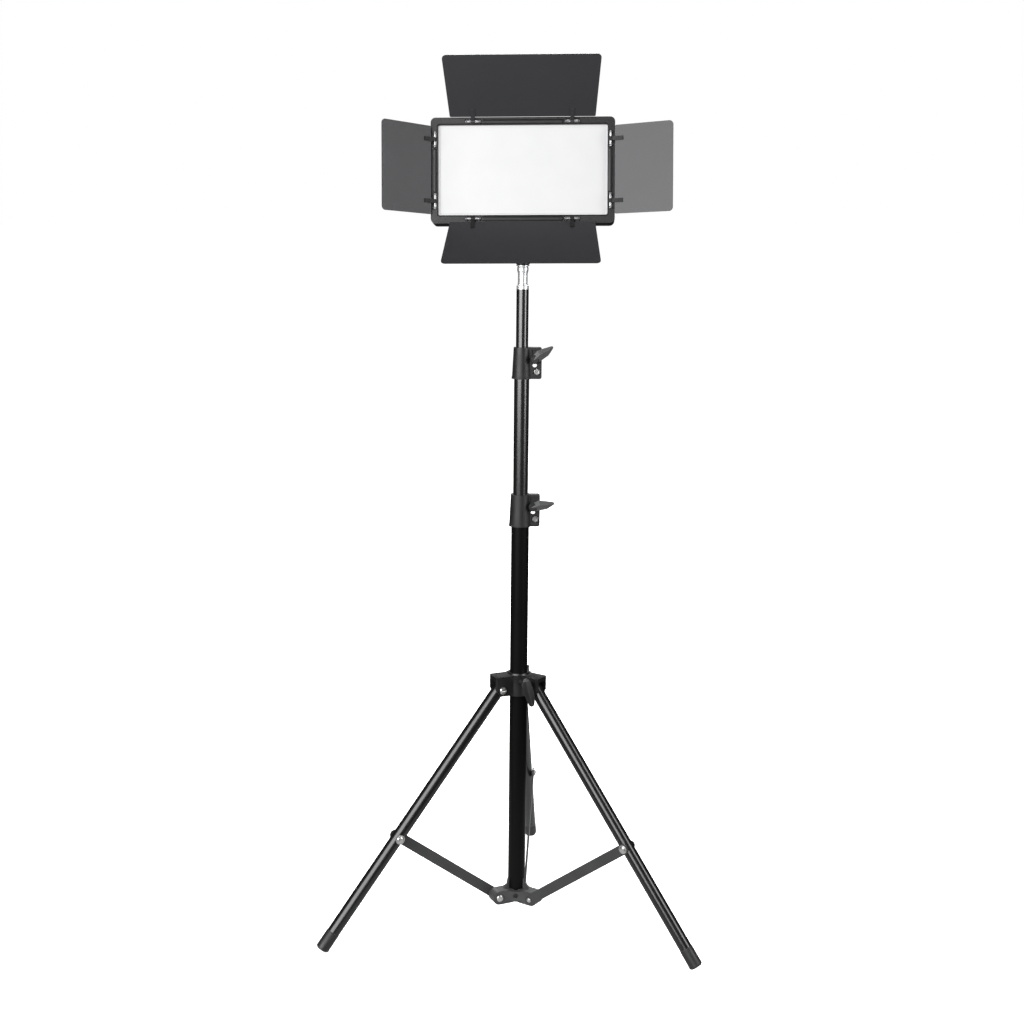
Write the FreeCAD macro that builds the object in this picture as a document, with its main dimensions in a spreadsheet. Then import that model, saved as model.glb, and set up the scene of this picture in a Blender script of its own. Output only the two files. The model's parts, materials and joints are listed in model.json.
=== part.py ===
import FreeCAD, Part
import Sketcher
import math
import os
import re

from FreeCAD import Placement, Rotation, Vector

# LED panel light with four barn-door leaves on a three-section folding stand.
# Millimetres, +Z up, the lamp faces -Y. The origin is on the floor, under the middle of the
# object's bounding box. Each finished sub-part is one object, listed in NODES and written to
# parts/NODE.step. Sizes come from the spreadsheet "dims" through expressions.

doc = FreeCAD.newDocument("panel_light")
sheet = doc.addObject("Spreadsheet::Sheet", "dims")

DIMENSIONS = {
    # telescoping column
    "tube_wall": 1.0,
    "lower_tube_d": 22.5,
    "middle_tube_d": 18.8,
    "upper_tube_d": 15.2,
    "lower_tube_foot": 22.0,
    "lower_tube_top": 546.0,
    "middle_tube_top": 733.0,
    "middle_tube_length": 468.0,
    "upper_tube_top": 823.7,
    "upper_tube_length": 440.0,
    "bush_length": 12.0,
    "slide_gap": 0.1,
    # section locks
    "lower_lock_foot": 526.4,
    "lower_lock_height": 40.8,
    "upper_lock_foot": 713.3,
    "upper_lock_height": 39.0,
    "lock_wall": 2.8,
    "flange_reach": 24.6,
    "flange_thickness": 4.2,
    "flange_gap": 2.4,
    "clamp_offset": 16.0,
    "lever_length": 25.0,
    # legs and braces
    "leg_tube_d": 16.5,
    "foot_d": 17.3,
    "foot_length": 26.0,
    "leg_length": 396.0,
    "leg_splay": 38.0,
    "leg_pivot_radius": 27.5,
    "brace_reach": 228.0,
    "sole_cut": 2.4,
    "brace_width": 13.7,
    "brace_thickness": 2.0,
    "part_gap": 0.3,
    "rivet_d": 5.0,
    "pin_gap": 0.05,
    "rear_azimuth": 85.7,
    # lower hub
    "hub_pivot_radius": 27.5,
    "hub_pivot_height": 29.5,
    "hub_lobe_radius": 9.2,
    "hub_lobe_width": 16.5,
    # leg collar
    "collar_rise": 17.5,
    "collar_drop": 9.5,
    "collar_reach": 36.8,
    "cheek_thickness": 2.9,
    # panel, in its own frame: x right, y back from the front face, z up
    "panel_width": 223.0,
    "panel_height": 127.0,
    "corner_radius": 6.0,
    "bezel_depth": 14.0,
    "bezel_front": 4.0,
    "case_wall": 2.0,
    "cover_depth": 20.0,
    "window_width": 205.0,
    "window_height": 108.0,
    "socket_depth": 20.0,
    "panel_pitch": 7.9,
    "panel_yaw": -2.3,
    "panel_roll": 0.84,
    # ball head
    "ball_height": 877.8,
    "ball_d": 18.0,
    "ball_to_panel": 23.5,
    "stud_d": 6.35,
    # barn doors
    "hinge_inset": 5.5,
    "hinge_rise": 1.2,
    "hinge_pin_d": 3.2,
    "hinge_pin_length": 18.0,
    "hinge_slot_length": 19.2,
    "hinge_slot_width": 6.6,
    "hinge_slot_depth": 3.0,
    "long_hinge_spacing": 120.0,
    "short_hinge_spacing": 74.0,
    "leaf_thickness": 1.0,
    "leaf_start": 5.7,
    "long_leaf": 81.1,
    "long_leaf_inner": 176.0,
    "long_leaf_outer": 190.0,
    "short_leaf": 79.1,
    "short_leaf_inner": 105.7,
    "short_leaf_outer": 106.7,
    "top_leaf_angle": 28.7,
    "bottom_leaf_angle": 43.9,
    "left_leaf_angle": 43.5,
    "right_leaf_angle": 22.2,
}

for row, (alias, number) in enumerate(DIMENSIONS.items(), start=1):
    sheet.set("A%d" % row, alias)
    sheet.set("B%d" % row, str(number))
    sheet.setAlias("B%d" % row, alias)
doc.recompute()

ALIAS = re.compile(r"\b(" + "|".join(DIMENSIONS) + r")\b")
NODES = {}


# ---- helpers: values, bindings, placements

def value(formula):
    """Number that a formula of the sheet's aliases gives now."""
    return float(sheet.evalExpression(str(formula)))


def bind(item, prop, formula):
    """Set a property and tie it to the sheet."""
    item.setExpression(prop, ALIAS.sub(r"dims.\1", str(formula)))


def move(x=0, y=0, z=0):
    return Placement(Vector(value(x), value(y), value(z)), Rotation())


def turn(axis, angle):
    return Placement(Vector(), Rotation(axis, value(angle)))


X, Y, Z = Vector(1, 0, 0), Vector(0, 1, 0), Vector(0, 0, 1)
AXIS_TURN = {"X": turn(Y, 90), "Y": turn(X, -90), "Z": turn(Z, 0)}


def cylinder(diameter, length, at=(0, 0, 0), axis="Z"):
    item = doc.addObject("Part::Cylinder", "cylinder")
    bind(item, "Radius", "(%s) / 2" % diameter)
    bind(item, "Height", length)
    item.Placement = move(*at) * AXIS_TURN[axis]
    return item


def cone(lower_d, upper_d, length, at=(0, 0, 0), axis="Z"):
    item = doc.addObject("Part::Cone", "cone")
    bind(item, "Radius1", "(%s) / 2" % lower_d)
    bind(item, "Radius2", "(%s) / 2" % upper_d)
    bind(item, "Height", length)
    item.Placement = move(*at) * AXIS_TURN[axis]
    return item


def box(x_size, y_size, z_size, at=(0, 0, 0)):
    """Block centred on x and y at the given point, rising from it."""
    item = doc.addObject("Part::Box", "box")
    bind(item, "Length", x_size)
    bind(item, "Width", y_size)
    bind(item, "Height", z_size)
    centre = move(*at)
    centre.move(Vector(-value(x_size) / 2, -value(y_size) / 2, 0))
    item.Placement = centre
    return item


def ball(diameter, at=(0, 0, 0)):
    item = doc.addObject("Part::Sphere", "ball")
    bind(item, "Radius", "(%s) / 2" % diameter)
    item.Placement = move(*at)
    return item


def fuse(*items):
    item = doc.addObject("Part::MultiFuse", "fuse")
    item.Shapes = list(items)
    item.Refine = True
    return item


def cut(base, *tools):
    item = doc.addObject("Part::Cut", "cut")
    item.Base = base
    item.Tool = tools[0] if len(tools) == 1 else fuse(*tools)
    return item


def group(*items):
    """Several separate solids in one node."""
    item = doc.addObject("Part::Compound", "group")
    item.Links = list(items)
    return item


def placed(item, placement):
    item.Placement = placement * item.Placement
    return item


def rounded(item, radius, picks):
    """Round the edges that picks() accepts."""
    doc.recompute()
    result = doc.addObject("Part::Fillet", "rounded")
    result.Base = item
    size = value(radius)
    result.Edges = [(i, size, size) for i, edge in enumerate(item.Shape.Edges, start=1) if picks(edge)]
    return result


def along(axis, length=None, where=None):
    """Edge test: straight, parallel to an axis, of a least length, and where() accepts its middle."""
    def test(edge):
        if edge.Curve.TypeId != "Part::GeomLine" or edge.Length < (length or 0):
            return False
        direction = edge.tangentAt(edge.FirstParameter)
        middle = edge.valueAt((edge.FirstParameter + edge.LastParameter) / 2)
        return abs(abs(direction.dot(axis)) - 1) < 1e-6 and (where is None or where(middle))
    return test


def profile(name, role, outline):
    """Body with one sketch on an origin plane: a closed outline, every corner tied to the sheet."""
    body = doc.addObject("PartDesign::Body", name)
    sketch = body.newObject("Sketcher::SketchObject", name + "_sketch")
    plane = [item for item in body.Origin.OriginFeatures if item.Role == role][0]
    sketch.AttachmentSupport = [(plane, "")]
    sketch.MapMode = "FlatFace"
    corners = [Vector(value(across), value(up), 0) for across, up in outline]
    count = len(corners)
    for i in range(count):
        sketch.addGeometry(Part.LineSegment(corners[i], corners[(i + 1) % count]), False)
    for i in range(count):
        sketch.addConstraint(Sketcher.Constraint("Coincident", i, 2, (i + 1) % count, 1))
    for i, formulas in enumerate(outline):
        for kind, formula, number in zip(("DistanceX", "DistanceY"), formulas, corners[i]):
            index = sketch.addConstraint(Sketcher.Constraint(kind, -1, 1, i, 1, number))
            bind(sketch, "Constraints[%d]" % index, formula)
    return body, sketch


def lathe(name, outline):
    """Turned piece: outline of (radius, height) about Z."""
    body, sketch = profile(name, "XZ_Plane", outline)
    spin = body.newObject("PartDesign::Revolution", name + "_spin")
    spin.Profile = sketch
    spin.ReferenceAxis = (sketch, ["V_Axis"])
    spin.Angle = 360
    return body


def plate(name, outline, thickness, role="XZ_Plane", both_ways=True):
    """Flat piece: outline on an origin plane, given a thickness about or from that plane."""
    body, sketch = profile(name, role, outline)
    pad = body.newObject("PartDesign::Pad", name + "_pad")
    pad.Profile = sketch
    bind(pad, "Length", thickness)
    pad.Midplane = both_ways
    return body


def node(name, item, placement=Placement()):
    """Finished sub-part: its label names its file."""
    placed(item, placement)
    item.Label = name
    NODES[name] = item
    return item


# ---- places worked out from the sheet

AZIMUTHS = {
    "rear": value("rear_azimuth"),
    "right": value("rear_azimuth - 120"),
    "left": value("rear_azimuth + 120"),
}
PIVOT_HEIGHT = "(leg_length * cos(leg_splay) + foot_d / 2 * sin(leg_splay) - sole_cut)"
FOOT_REACH = value("leg_pivot_radius + leg_length * sin(leg_splay) + foot_d / 2 * cos(leg_splay)")


def box_middle(function):
    """Middle of the feet's spread along one axis."""
    reach = [FOOT_REACH * function(math.radians(azimuth)) for azimuth in AZIMUTHS.values()]
    return (max(reach) + min(reach)) / 2


COLUMN = Placement(Vector(-box_middle(math.cos), -box_middle(math.sin), 0), Rotation())

# A leg lies in the plane through the column at its azimuth: x outward, y across, z up. A leg's own
# frame has the pivot at its origin and runs down -z, and a brace's frame starts at its leg rivet.
LEG = move("leg_pivot_radius", 0, PIVOT_HEIGHT) * turn(Y, "-leg_splay")
RIVET = LEG.multVec(Vector(0, 0, -value("brace_reach")))
HUB_PIVOT = Vector(value("hub_pivot_radius"), 0, value("hub_pivot_height"))
BRACE_SPAN = (RIVET - HUB_PIVOT).Length
BRACE_LEAN = math.degrees(math.atan2(RIVET.x - HUB_PIVOT.x, RIVET.z - HUB_PIVOT.z))
BRACE = Placement(RIVET, Rotation(Y, BRACE_LEAN))
BRACE_NEAR = "(leg_tube_d / 2 + part_gap)"


def leg_plane(side):
    return COLUMN * turn(Z, AZIMUTHS[side])


# ---- column

def tube(outer, length):
    return cut(cylinder(outer, length), cylinder("%s - 2 * tube_wall" % outer, length))


def rivet(name, foot, top, head_d, head_rise):
    """Shank along +z from foot to top, with a domed head on top."""
    shank = "rivet_d / 2"
    dome = [(0, foot), (shank, foot), (shank, top), ("%s / 2" % head_d, top),
            ("%s / 2" % head_d, "%s + %s * 0.35" % (top, head_rise)),
            ("%s * 0.36" % head_d, "%s + %s * 0.8" % (top, head_rise)),
            ("%s * 0.18" % head_d, "%s + %s" % (top, head_rise)), (0, "%s + %s" % (top, head_rise))]
    return lathe(name, dome)


def hexagon(name, across, thickness):
    """Hexagonal prism rising from z 0."""
    corner = "%s / 2 / cos(30)" % across
    outline = [("%s * cos(%d)" % (corner, angle), "%s * sin(%d)" % (corner, angle))
               for angle in range(30, 390, 60)]
    return plate(name, outline, thickness, "XY_Plane", both_ways=False)


node("lower_tube", tube("lower_tube_d", "lower_tube_top - lower_tube_foot"),
     COLUMN * move(0, 0, "lower_tube_foot"))


def hub_lobe(side):
    """Solid lobe: its flat flanks carry the brace rivet, and a rib leans on the tube above it."""
    rise = value("hub_pivot_height")
    arm = box("hub_pivot_radius - 8", "hub_lobe_width", "2 * hub_lobe_radius",
              (value("hub_pivot_radius / 2 + 4"), 0, value("hub_pivot_height - hub_lobe_radius")))
    end = cylinder("2 * hub_lobe_radius", "hub_lobe_width",
                   ("hub_pivot_radius", "-hub_lobe_width / 2", rise), "Y")
    rib = plate("hub_rib", [(10, 38), (20, 38), (14, 44), (12.5, 52), (10, 52)], 3.2)
    return placed(fuse(arm, end, rib), turn(Z, AZIMUTHS[side]))


def lower_hub():
    """Three-lobed foot of the column, webbed between its lobes, with a socket for the lower tube."""
    core = cylinder(32, 14.5, (0, 0, 23))
    corners = [(33 * math.cos(math.radians(azimuth)), 33 * math.sin(math.radians(azimuth)))
               for azimuth in AZIMUTHS.values()]
    web = placed(plate("hub_web", corners, 13, "XY_Plane", both_ways=False), move(0, 0, 24.5))
    lobes = [hub_lobe(side) for side in AZIMUTHS]
    socket = cylinder("lower_tube_d", 60, (0, 0, "lower_tube_foot"))
    drain = cylinder(15, 20, (0, 0, 10))
    holes = [placed(cylinder("rivet_d", 30, ("hub_pivot_radius", -15, "hub_pivot_height"), "Y"),
                    turn(Z, azimuth)) for azimuth in AZIMUTHS.values()]
    screw_hole = placed(cylinder(3, 10, (10, 0, 32), "X"), turn(Z, "rear_azimuth + 180"))
    return cut(fuse(core, web, *lobes), socket, drain, screw_hole, *holes)


node("lower_hub", lower_hub(), COLUMN)
node("hub_rivets", group(*[
    placed(rivet("hub_rivet", "-hub_lobe_width / 2", "hub_lobe_width / 2", "9.6", "2.4"),
           turn(Z, azimuth) * move("hub_pivot_radius", 0, "hub_pivot_height") * AXIS_TURN["Y"])
    for azimuth in AZIMUTHS.values()]), COLUMN)
node("hub_screw", lathe("hub_screw", [(0, 11.4), (1.5, 11.4), (1.5, 16.6), (2.9, 16.6), (2.9, 17.8),
                                      (2.1, 18.6), (0, 18.6)]),
     COLUMN * turn(Z, "rear_azimuth + 180") * move(0, 0, 32) * AXIS_TURN["X"])


# ---- section locks, each in a frame that starts at its foot

CLAMP = ("clamp_offset", 0.64)
FIXING = (19, 0.23)
SPARE_HOLE = (16, 0.42)
FLANGE_WIDTH = "(2 * flange_thickness + flange_gap)"


def section_lock(outer_tube, inner_tube, height, tube_depth):
    """Tapered sleeve split into a two-eared flange; it grips one tube and clamps the other. The flange has
    a shallow pocket behind the lever and a spare through hole under it."""
    sleeve = fuse(cone("%s + 2 * lock_wall" % outer_tube, "%s + 2 * lock_wall" % inner_tube, height),
                  cylinder("%s + 2 * lock_wall + 0.8" % outer_tube, 2.2))
    flange = box("flange_reach", FLANGE_WIDTH, height, ("flange_reach / 2", 0, 0))
    flange = rounded(flange, 2.5, along(Y, where=lambda middle: middle.x > 1))
    slot = box("flange_reach + 2", "flange_gap", "%s + 2" % height, ("flange_reach / 2 + 3", 0, -1))
    grip = cylinder(outer_tube, tube_depth)
    bore = cylinder("%s + 2 * slide_gap" % inner_tube, "%s + 2" % height, (0, 0, -1))
    clamp_z = value("%s * %s" % (height, CLAMP[1]))
    fixing_z = value("%s * %s" % (height, FIXING[1]))
    front = "-%s / 2" % FLANGE_WIDTH
    clamp_hole = cylinder(5.3, 20, (CLAMP[0], -10, clamp_z), "Y")
    seat = cylinder(12.6, 1.2, (CLAMP[0], front, clamp_z), "Y")
    pocket_foot = value("%s * %s + 4" % (height, SPARE_HOLE[1]))
    pocket = box(9.5, 4.4, value(height) - 3 - pocket_foot, (17, front, pocket_foot))
    spare_hole = cylinder(5.8, 20, (SPARE_HOLE[0], -10, "%s * %s" % (height, SPARE_HOLE[1])), "Y")
    fixing_hole = cylinder(4, 20, (FIXING[0], -10, fixing_z), "Y")
    nut_seat = placed(hexagon("nut_seat", "9.0", 1.9),
                      move(FIXING[0], front, fixing_z) * AXIS_TURN["Y"])
    return cut(fuse(sleeve, flange), slot, grip, bore, clamp_hole, seat, pocket, spare_hole, fixing_hole,
               nut_seat)


def lock_screw(height):
    """Fixing bolt with its nut in front, and the clamp stud's nut behind."""
    half = value("%s / 2" % FLANGE_WIDTH)
    bolt = placed(lathe("fixing_bolt", [(0, 0), (2, 0), (2, 2 * half), (3.5, 2 * half), (3.5, 2 * half + 2),
                                        (2.4, 2 * half + 2.8), (0, 2 * half + 2.8)]),
                  move(FIXING[0], -half, "%s * %s" % (height, FIXING[1])) * AXIS_TURN["Y"])
    nut = cut(hexagon("fixing_nut", "6.8", 2.6), cylinder(4, 3))
    placed(nut, move(FIXING[0], -half - 1.1, "%s * %s" % (height, FIXING[1])) * AXIS_TURN["Y"])
    clamp_nut = cut(hexagon("clamp_nut", "7.4", 4), cylinder(5.1, 5))
    placed(clamp_nut, move(CLAMP[0], half, "%s * %s" % (height, CLAMP[1])) * AXIS_TURN["Y"])
    return group(bolt, nut, clamp_nut)


def lever_paddle(name):
    """Wing outline, thickest near the hub."""
    return plate(name, [(-5.6, -2.6), (-5.6, 2.6), (-1, 5.8), (8.5, 7.4), (13.5, 5.6), (21, 3.8),
                        ("lever_length + 1.5", 2.8), ("lever_length + 2.5", 0.4),
                        ("lever_length + 1", -2), (20, -3.8), (15.5, -5.6), (10, -5.2), (3, -5.8)], 3.6)


def lock_lever():
    """Wing lever about the clamp stud: x along the wing, its hub standing out along -y."""
    hub = lathe("lever_hub", [(0, 6.1), (4, 6.1), (4, 8.2), (5.8, 9.6), (5.4, 15.4), (0, 15.4)])
    placed(hub, turn(X, 90))
    wing = placed(lever_paddle("wing"), move(0, -12.7, 0))
    bore = cylinder(5, 7, (0, -11.5, 0), "Y")
    return cut(fuse(hub, wing), bore)


def lock_stud():
    """Threaded stud with its washer, turning with the lever."""
    stud = cylinder(5, 21, (0, -11.5, 0), "Y")
    washer = cut(cylinder(8.6, 1.6, (0, -6, 0), "Y"), cylinder(5, 3, (0, -6.5, 0), "Y"))
    return group(stud, washer)


def add_lock(prefix, outer_tube, inner_tube, lever_angle):
    height = prefix + "_lock_height"
    foot = COLUMN * move(0, 0, prefix + "_lock_foot")
    tube_depth = {"lower": "lower_tube_top - lower_lock_foot",
                  "upper": "middle_tube_top - upper_lock_foot"}[prefix]
    clamp = foot * move(CLAMP[0], 0, "%s * %s" % (height, CLAMP[1])) * turn(Y, lever_angle)
    node(prefix + "_lock", section_lock(outer_tube, inner_tube, height, tube_depth), foot)
    node(prefix + "_lock_screw", lock_screw(height), foot)
    node(prefix + "_lock_lever", lock_lever(), clamp)
    node(prefix + "_lock_stud", lock_stud(), clamp)


add_lock("lower", "lower_tube_d", "middle_tube_d", -11)
add_lock("upper", "middle_tube_d", "upper_tube_d", -35)


# ---- telescoping tubes

def slide_tube(prefix, guide):
    """Inner tube with the bush at its lower end that runs in the tube outside it."""
    outer, length = prefix + "_tube_d", prefix + "_tube_length"
    foot = COLUMN * move(0, 0, "%s_tube_top - %s" % (prefix, length))
    bush = cut(cylinder("%s_tube_d - 2 * tube_wall - 2 * slide_gap" % guide, "bush_length"),
               cylinder(outer, "bush_length"))
    node(prefix + "_tube", tube(outer, length), foot)
    node(prefix + "_bush", bush, foot)


slide_tube("middle", "lower")
slide_tube("upper", "middle")

SPIGOT = [(0, -12), (6.5, -12), (6.5, 0), (7.6, 0), (7.6, 4.2), (6.7, 5), (6.7, 6.2), (6, 7), (6, 19.4),
          (6.4, 20), (6.4, 21.2), (7.0, 22), (7.0, 26.2), (6.3, 27), (6.3, 27.6), (8, 28.1), (8, 29.3),
          (7.3, 29.9), ("stud_d / 2", 29.9), ("stud_d / 2", 38.1), (2.4, 38.9), (0, 38.9)]
node("spigot", lathe("spigot", SPIGOT), COLUMN * move(0, 0, "upper_tube_top"))


# ---- sliding leg collar

CHEEK_OUTER = "(leg_tube_d / 2 + part_gap + cheek_thickness)"
KNOB_AZIMUTH = -72
KNOB_REST = 15
KNOB_RISE = 8.6


def collar_lobe(side):
    """Forked lobe: a roof over two cheeks, open downward and outward for the leg."""
    outline = [(8, -8), (30.5, -8), ("collar_reach", 1), ("collar_reach", "collar_rise"),
               (8, "collar_rise")]
    lobe = plate("lobe", outline, "2 * " + CHEEK_OUTER)
    lobe = rounded(lobe, 3.5, along(Z, 5, lambda middle: middle.x > 30))
    fork = box(20, "leg_tube_d + 2 * part_gap", 21, (27.2, 0, -9))
    hole = cylinder("rivet_d", 40, ("leg_pivot_radius", -20, 0), "Y")
    return placed(cut(lobe, fork, hole), turn(Z, AZIMUTHS[side]))


def leg_collar():
    """Sleeve on the lower tube with three forked lobes and a boss for the clamp screw."""
    sleeve = cylinder(34, "collar_rise + collar_drop", (0, 0, "-collar_drop"))
    ring = cone(29, 27, 2, (0, 0, "collar_rise"))
    boss = placed(cylinder(11, 14.7, (12, 0, KNOB_RISE), "X"), turn(Z, KNOB_AZIMUTH))
    lobes = [collar_lobe(side) for side in AZIMUTHS]
    forks = [placed(box(20, "leg_tube_d + 2 * part_gap", 21, (27.2, 0, -9)), turn(Z, azimuth))
             for azimuth in AZIMUTHS.values()]
    bore = cylinder("lower_tube_d + 2 * slide_gap", 60, (0, 0, -30))
    screw_hole = placed(cylinder("rivet_d + 2 * pin_gap", 20, (9, 0, KNOB_RISE), "X"),
                        turn(Z, KNOB_AZIMUTH))
    return cut(fuse(sleeve, ring, boss, *lobes), bore, screw_hole, *forks)


def pivot_bolt(side):
    """Slotted bolt head on one cheek, low peened end on the other."""
    reach = value(CHEEK_OUTER)
    bolt = lathe("pivot_bolt", [(0, -reach - 1.2), (2, -reach - 1.2), (3.3, -reach - 0.5), (3.3, -reach),
                                ("rivet_d / 2", -reach), ("rivet_d / 2", reach), (4.7, reach),
                                (4.7, reach + 1.6), (3.6, reach + 2.6), (0, reach + 2.6)])
    slot = box(10, 1.3, 3, (0, 0, reach + 1.5))
    return placed(cut(bolt, slot), turn(Z, AZIMUTHS[side]) * move("leg_pivot_radius") * AXIS_TURN["Y"])


def collar_knob():
    """Wing knob on its clamp screw, which presses on the lower tube: x points out of the collar."""
    hub = cone(10, 9, 10, (27, 0, 0), "X")
    wing = plate("knob_wing", [(-13, -2.4), (-13, 2.4), (-8, 5), (0, 6.6), (9, 6.8), (15, 5.4), (23, 4.6),
                               (26, 2.5), (26.4, -1), (23, -4.2), (15, -6.4), (-2, -6.4), (-8, -5)], 3.4)
    placed(wing, move(38.3, 0, 0) * turn(X, KNOB_REST) * turn(Y, 90) * turn(X, 90))
    screw, socket = [cylinder("rivet_d", 22, ("lower_tube_d / 2 + part_gap", 0, 0), "X") for i in range(2)]
    return group(cut(fuse(hub, wing), socket), screw)


COLLAR = COLUMN * move(0, 0, PIVOT_HEIGHT)
node("leg_collar", leg_collar(), COLLAR)
node("collar_pivot_bolts", group(*[pivot_bolt(side) for side in AZIMUTHS]), COLLAR)
node("collar_knob", collar_knob(), COLLAR * turn(Z, KNOB_AZIMUTH) * move(0, 0, KNOB_RISE))


# ---- legs and braces

def leg_tube():
    """Leg tube with running holes for its pivot bolt and for the brace rivet."""
    length = "leg_length - 4"
    tube_body = placed(tube("leg_tube_d", length + " + 5.5"), move(0, 0, "-(%s)" % length))
    holes = [cylinder("rivet_d + 2 * pin_gap", 30, (0, -15, height), "Y")
             for height in (0, "-brace_reach")]
    return cut(tube_body, *holes)


def foot_cap():
    """Cap over the leg's end, with a small flat sole where it meets the floor."""
    outer = "foot_d / 2"
    skirt = lathe("skirt", [(0, 0), ("%s - 2" % outer, 0), (outer, 2), (outer, "foot_length - 1.5"),
                            ("leg_tube_d / 2", "foot_length"), ("leg_tube_d / 2", 4), (0, 4)])
    placed(skirt, move(0, 0, "-leg_length"))
    floor = placed(box(80, 40, 20, (FOOT_REACH, 0, -20)), LEG.inverse())
    return cut(skirt, floor)


def brace():
    """Flat bar with rounded ends, on one flank of its leg and of its hub lobe."""
    side = "-%s - brace_thickness" % BRACE_NEAR
    bar = box("brace_width", "brace_thickness", BRACE_SPAN,
              (0, "-%s - brace_thickness / 2" % BRACE_NEAR, -BRACE_SPAN))
    ends = [cylinder("brace_width", "brace_thickness", (0, side, height), "Y")
            for height in (0, -BRACE_SPAN)]
    holes = [cylinder("rivet_d", 8, (0, value(side) - 2, height), "Y") for height in (0, -BRACE_SPAN)]
    return cut(fuse(bar, *ends), *holes)


def brace_rivets():
    """Rivet through the leg with its washer, and the peened end at the hub."""
    outer = value(BRACE_NEAR) + value("brace_thickness")
    washer_y = value("leg_tube_d / 2") + 0.1
    through = placed(rivet("leg_rivet", -outer - 0.1, washer_y + 1.2, "9.4", "2.3"), AXIS_TURN["Y"])
    washer = cut(cylinder(12, 1.2, (0, washer_y, 0), "Y"),
                 cylinder("rivet_d", 3, (0, washer_y - 1, 0), "Y"))
    washer_hub = cut(cylinder(11, 0.8, (0, -outer - 0.8, 0), "Y"),
                     cylinder("rivet_d", 3, (0, -outer - 2, 0), "Y"))
    tail = lathe("tail", [(0, 0), (4.4, 0), (4.4, 0.8), (3.2, 1.8), (0, 2.1)])
    placed(tail, move(0, -outer - 0.8, 0) * turn(X, 90))
    hub_end = lathe("hub_end", [(0, 0), ("rivet_d / 2", 0), ("rivet_d / 2", "brace_thickness"),
                                (3.1, "brace_thickness"), (3.1, "brace_thickness + 0.8"),
                                (2.2, "brace_thickness + 1.7"), (0, "brace_thickness + 1.9")])
    placed(hub_end, move(0, "-" + BRACE_NEAR, -BRACE_SPAN) * turn(X, 90))
    return group(fuse(through, tail), washer, washer_hub, hub_end)


for side in AZIMUTHS:
    plane = leg_plane(side)
    node("leg_tube_" + side, leg_tube(), plane * LEG)
    node("foot_cap_" + side, foot_cap(), plane * LEG)
    node("brace_" + side, brace(), plane * BRACE)
    node("brace_rivets_" + side, brace_rivets(), plane * BRACE)


# ---- ball head, in a frame whose origin is the ball's centre

BALL = COLUMN * move(0, 0, "ball_height")
HEAD_FOOT = value("upper_tube_top + 30 - ball_height")
CLAMP_KNOB_RISE = -11.5
HEAD_HOUSING = [(0, HEAD_FOOT), (8, HEAD_FOOT), (8.5, HEAD_FOOT + 0.5), (8.5, HEAD_FOOT + 1.5),
                (7, HEAD_FOOT + 2), (7, HEAD_FOOT + 4.5), (12, HEAD_FOOT + 7), (13, HEAD_FOOT + 8.5),
                (13, 0.5), (12.2, 2.2), (10.6, 3), (0, 3)]


def head_base():
    """Housing that screws onto the spigot's stud and holds the ball."""
    socket = cylinder("stud_d + 2 * pin_gap", 10, (0, 0, HEAD_FOOT - 0.5))
    cavity = ball("ball_d + 2 * pin_gap")
    screw_hole = cylinder("rivet_d + 2 * pin_gap", 12, (0, 5, CLAMP_KNOB_RISE), "Y")
    return cut(lathe("housing", HEAD_HOUSING), socket, cavity, screw_hole)


def fluted(item, count, radius, depth_d, length, at):
    """Cut even grip flutes round a turned knob about z."""
    flutes = []
    for i in range(count):
        turn_i = 2 * math.pi * i / count
        flutes.append(cylinder(depth_d, length, (radius * math.cos(turn_i), radius * math.sin(turn_i), at)))
    return cut(item, *flutes)


def head_knob():
    """Clamp knob at the back, on its screw: z points out of the housing."""
    grip = lathe("clamp_knob", [(0, 5.6), (2.5, 5.6), (2.5, 13.4), (4.5, 13.4), (4.5, 15), (8.3, 15.8),
                                (8.3, 25.5), (7, 27), (0, 27)])
    return fluted(grip, 12, 9.1, 3, 14, 14.5)


def head_ball():
    """Ball with its neck, flange and threaded stud, w along the stud."""
    neck = cylinder(8, 8.5, (0, 0, 6.5))
    flange = cylinder(18, 2, (0, 0, 14))
    stud = cylinder("stud_d", 17, (0, 0, 16))
    return fuse(ball("ball_d"), neck, flange, stud)


def lock_disc():
    ring = lathe("ring", [("stud_d / 2 + pin_gap", 17), (9.8, 17), (11, 18), (11, 22.2),
                          (10.2, "ball_to_panel - 0.1"), ("stud_d / 2 + pin_gap", "ball_to_panel - 0.1")])
    return fluted(ring, 20, 11.6, 2, 8, 16)


PANEL_TURN = turn(Z, "panel_yaw") * turn(X, "-panel_pitch") * turn(Y, "-panel_roll")
node("head_base", head_base(), BALL)
node("head_knob", head_knob(), BALL * move(0, 0, CLAMP_KNOB_RISE) * AXIS_TURN["Y"])
node("head_ball", head_ball(), BALL * PANEL_TURN)
node("lock_disc", lock_disc(), BALL * PANEL_TURN)


# ---- panel, in its own frame: x right, y back from the front face, z up

PANEL = BALL * PANEL_TURN * move(0, "-socket_depth", "ball_to_panel + panel_height / 2")
CASE_DEPTH = "(bezel_depth + 0.2 + cover_depth)"
SCREWS = [(x, z) for x in (-105.5, 105.5) for z in (-57.5, 57.5)]
KNOBS = {"brightness_knob": 24, "colour_knob": 1}
CONTROLS_X = -84
SWITCH_Z = -29
JACK = (88, -38)


def slab(width, height, depth, y, at=(0, 0), radius=None):
    """Block facing y, centred on at = (x, z), from y backward, with its four corners rounded."""
    item = box(width, depth, height, (at[0], 0, "%s - (%s) / 2" % (at[1], height)))
    item.Placement = move(0, "%s + (%s) / 2" % (y, depth)) * item.Placement
    return rounded(item, radius, along(Y)) if radius else item


def rod(diameter, y, length, at):
    """Cylinder along y."""
    return cylinder(diameter, length, (at[0], y, at[1]), "Y")


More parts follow.
